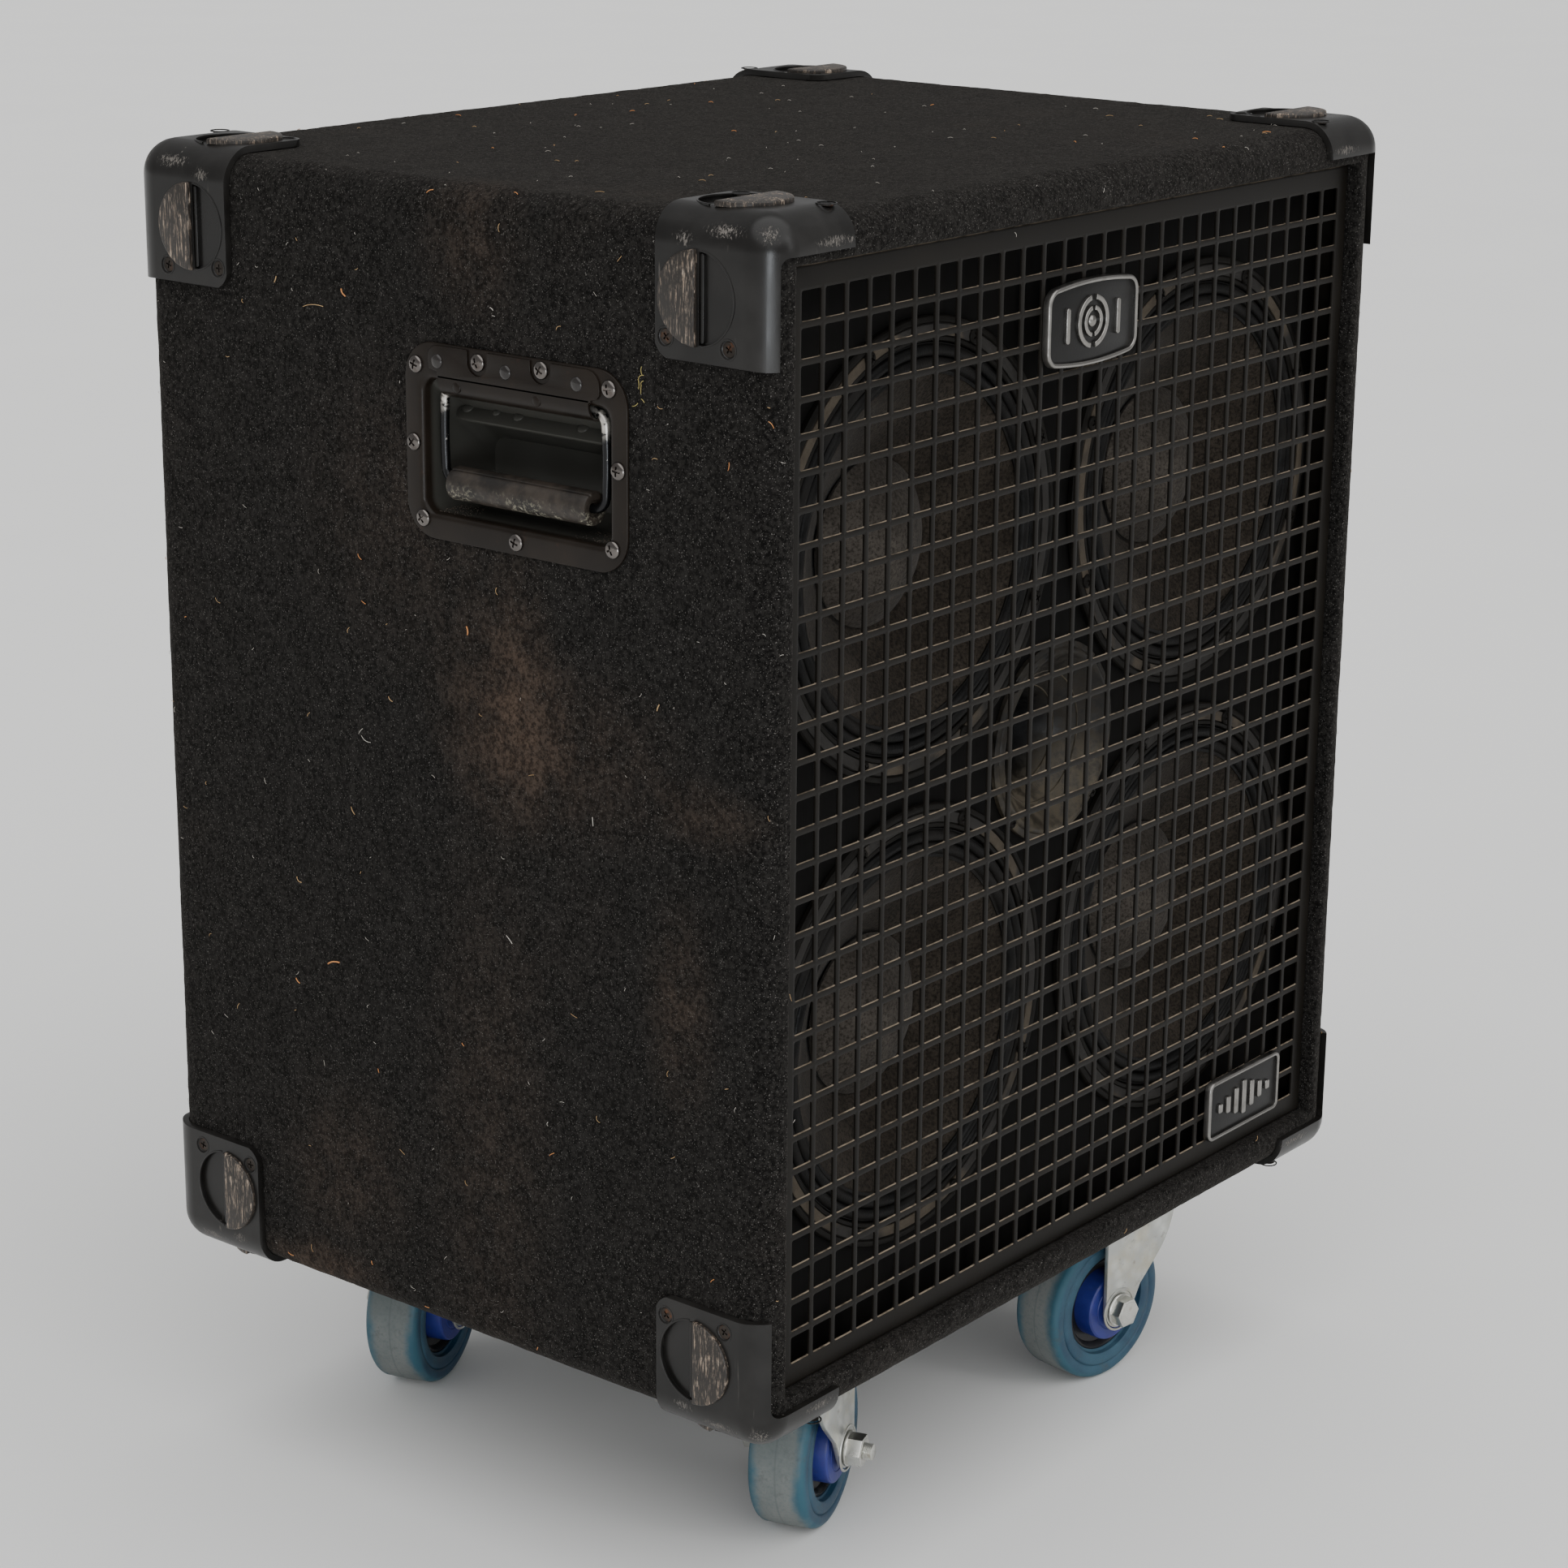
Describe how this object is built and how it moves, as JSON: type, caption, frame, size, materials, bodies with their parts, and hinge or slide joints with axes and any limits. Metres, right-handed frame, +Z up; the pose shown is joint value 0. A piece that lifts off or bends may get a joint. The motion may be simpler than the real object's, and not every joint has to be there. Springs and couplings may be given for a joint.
{
  "type": "bass guitar speaker cabinet",
  "caption": "Carpeted bass-guitar speaker cabinet with coned drivers and a round horn behind a steel lattice grille, spring-free side handles and swivel castors.",
  "frame": {"origin": "centre of the bounding box's base, on the floor under the castor wheels", "axes": "+Z up, -Y out of the grille, +X to the right as seen from the front"},
  "size_m": [0.5972, 0.468, 0.7966],
  "materials": {
    "plywood": "bare birch plywood, hidden under the carpet",
    "carpet": "matt black needle-felt carpet with lint and dust",
    "grille_steel": "satin black powder coat, bare on the upper edges of its bars",
    "badge": "satin silver rim round a black field",
    "corner_plastic": "black moulded plastic, scuffed and scratched",
    "handle_steel": "satin black powder coat, worn at its edges",
    "bail_wire": "black wire, worn to bare steel at its bends",
    "grip_rubber": "brown-black rubber, worn and dusty",
    "driver_frame": "black painted pressed steel",
    "cone_paper": "dark grey-brown felted paper, matt",
    "cone_surround": "doped black cloth, half gloss",
    "horn_plastic": "black moulded plastic, half matt",
    "dish_plastic": "black moulded plastic with a fine grain",
    "knob_plastic": "black plastic with a white pointer line",
    "circuit_board": "green circuit board with its coils and capacitors",
    "zinc_plate": "zinc-plated pressed steel, slightly yellowed",
    "tyre_rubber": "blue rubber, its tread worn to grey",
    "hub_nylon": "royal blue nylon, smooth",
    "bright_steel": "bright zinc-plated bolt and nut"
  },
  "bodies": {
    "cabinet": {"side_panel_left": "plywood", "side_panel_right": "plywood", "top_panel": "plywood", "bottom_panel": "plywood", "rear_panel": "plywood", "baffle_board": "plywood", "carpet_cover": "carpet", "grille": "grille_steel", "badge_top": "badge", "badge_corner": "badge", "corner_front_top_left": "corner_plastic", "corner_front_top_right": "corner_plastic", "corner_front_bottom_left": "corner_plastic", "corner_front_bottom_right": "corner_plastic", "corner_rear_top_left": "corner_plastic", "corner_rear_top_right": "corner_plastic", "corner_rear_bottom_left": "corner_plastic", "corner_rear_bottom_right": "corner_plastic", "handle_dish_left": "handle_steel", "handle_dish_right": "handle_steel", "driver_basket_top_left": "driver_frame", "driver_surround_top_left": "cone_surround", "driver_basket_top_right": "driver_frame", "driver_surround_top_right": "cone_surround", "driver_basket_bottom_left": "driver_frame", "driver_surround_bottom_left": "cone_surround", "driver_basket_bottom_right": "driver_frame", "driver_surround_bottom_right": "cone_surround", "horn": "horn_plastic", "socket_dish": "dish_plastic", "crossover_board": "circuit_board", "castor_front_left_plate": "zinc_plate", "castor_front_right_plate": "zinc_plate", "castor_rear_left_plate": "zinc_plate", "castor_rear_right_plate": "zinc_plate"},
    "castor_front_left_swivel": {"castor_front_left_fork": "zinc_plate", "castor_front_left_bolt": "bright_steel"},
    "castor_front_left_wheel": {"castor_front_left_tyre": "tyre_rubber", "castor_front_left_hub": "hub_nylon"},
    "castor_front_right_swivel": {"castor_front_right_fork": "zinc_plate", "castor_front_right_bolt": "bright_steel"},
    "castor_front_right_wheel": {"castor_front_right_tyre": "tyre_rubber", "castor_front_right_hub": "hub_nylon"},
    "castor_rear_left_swivel": {"castor_rear_left_fork": "zinc_plate", "castor_rear_left_bolt": "bright_steel"},
    "castor_rear_left_wheel": {"castor_rear_left_tyre": "tyre_rubber", "castor_rear_left_hub": "hub_nylon"},
    "castor_rear_right_swivel": {"castor_rear_right_fork": "zinc_plate", "castor_rear_right_bolt": "bright_steel"},
    "castor_rear_right_wheel": {"castor_rear_right_tyre": "tyre_rubber", "castor_rear_right_hub": "hub_nylon"},
    "handle_bail_left": {"handle_bail_left": "bail_wire", "handle_grip_left": "grip_rubber"},
    "handle_bail_right": {"handle_bail_right": "bail_wire", "handle_grip_right": "grip_rubber"},
    "cone_top_left": {"driver_cone_top_left": "cone_paper"},
    "cone_top_right": {"driver_cone_top_right": "cone_paper"},
    "cone_bottom_left": {"driver_cone_bottom_left": "cone_paper"},
    "cone_bottom_right": {"driver_cone_bottom_right": "cone_paper"},
    "level_knob": {"level_knob": "knob_plastic"}
  },
  "joints": [
    {"name": "castor_front_left_swivel", "type": "hinge", "parent": "cabinet", "child": "castor_front_left_swivel", "pos_m": [-0.181, -0.154, 0.1], "axis": [0, 0, 1], "continuous": true},
    {"name": "castor_front_left_wheel_spin", "type": "hinge", "parent": "castor_front_left_swivel", "child": "castor_front_left_wheel", "pos_m": [-0.14595, -0.14214, 0.05], "axis": [-0.3206, 0.9472, 0], "continuous": true},
    {"name": "castor_front_right_swivel", "type": "hinge", "parent": "cabinet", "child": "castor_front_right_swivel", "pos_m": [0.165, -0.161, 0.1], "axis": [0, 0, 1], "continuous": true},
    {"name": "castor_front_right_wheel_spin", "type": "hinge", "parent": "castor_front_right_swivel", "child": "castor_front_right_wheel", "pos_m": [0.1283, -0.1563, 0.05], "axis": [-0.1271, -0.9919, 0], "continuous": true},
    {"name": "castor_rear_left_swivel", "type": "hinge", "parent": "cabinet", "child": "castor_rear_left_swivel", "pos_m": [-0.185, 0.153, 0.1], "axis": [0, 0, 1], "continuous": true},
    {"name": "castor_rear_left_wheel_spin", "type": "hinge", "parent": "castor_rear_left_swivel", "child": "castor_rear_left_wheel", "pos_m": [-0.14995, 0.16486, 0.05], "axis": [-0.3206, 0.9472, 0], "continuous": true},
    {"name": "castor_rear_right_swivel", "type": "hinge", "parent": "cabinet", "child": "castor_rear_right_swivel", "pos_m": [0.17, 0.153, 0.1], "axis": [0, 0, 1], "continuous": true},
    {"name": "castor_rear_right_wheel_spin", "type": "hinge", "parent": "castor_rear_right_swivel", "child": "castor_rear_right_wheel", "pos_m": [0.13796, 0.1715, 0.05], "axis": [-0.5, -0.866, 0], "continuous": true},
    {"name": "handle_bail_left_hinge", "type": "hinge", "parent": "cabinet", "child": "handle_bail_left", "pos_m": [-0.2855, -0.057, 0.681], "axis": [0, 1, 0], "range_deg": [0, 90]},
    {"name": "handle_bail_right_hinge", "type": "hinge", "parent": "cabinet", "child": "handle_bail_right", "pos_m": [0.2855, -0.057, 0.681], "axis": [0, -1, 0], "range_deg": [0, 90]},
    {"name": "cone_top_left_stroke", "type": "slide", "parent": "cabinet", "child": "cone_top_left", "axis": [0, -1, 0], "range_m": [-0.005, 0.005], "stiffness_N_per_m": 4000, "deforming": ["driver_surround_top_left"]},
    {"name": "cone_top_right_stroke", "type": "slide", "parent": "cabinet", "child": "cone_top_right", "axis": [0, -1, 0], "range_m": [-0.005, 0.005], "stiffness_N_per_m": 4000, "deforming": ["driver_surround_top_right"]},
    {"name": "cone_bottom_left_stroke", "type": "slide", "parent": "cabinet", "child": "cone_bottom_left", "axis": [0, -1, 0], "range_m": [-0.005, 0.005], "stiffness_N_per_m": 4000, "deforming": ["driver_surround_bottom_left"]},
    {"name": "cone_bottom_right_stroke", "type": "slide", "parent": "cabinet", "child": "cone_bottom_right", "axis": [0, -1, 0], "range_m": [-0.005, 0.005], "stiffness_N_per_m": 4000, "deforming": ["driver_surround_bottom_right"]},
    {"name": "level_knob_turn", "type": "hinge", "parent": "cabinet", "child": "level_knob", "pos_m": [0.036, 0.215, 0.568], "axis": [0, 1, 0], "range_deg": [-150, 150]}
  ]
}
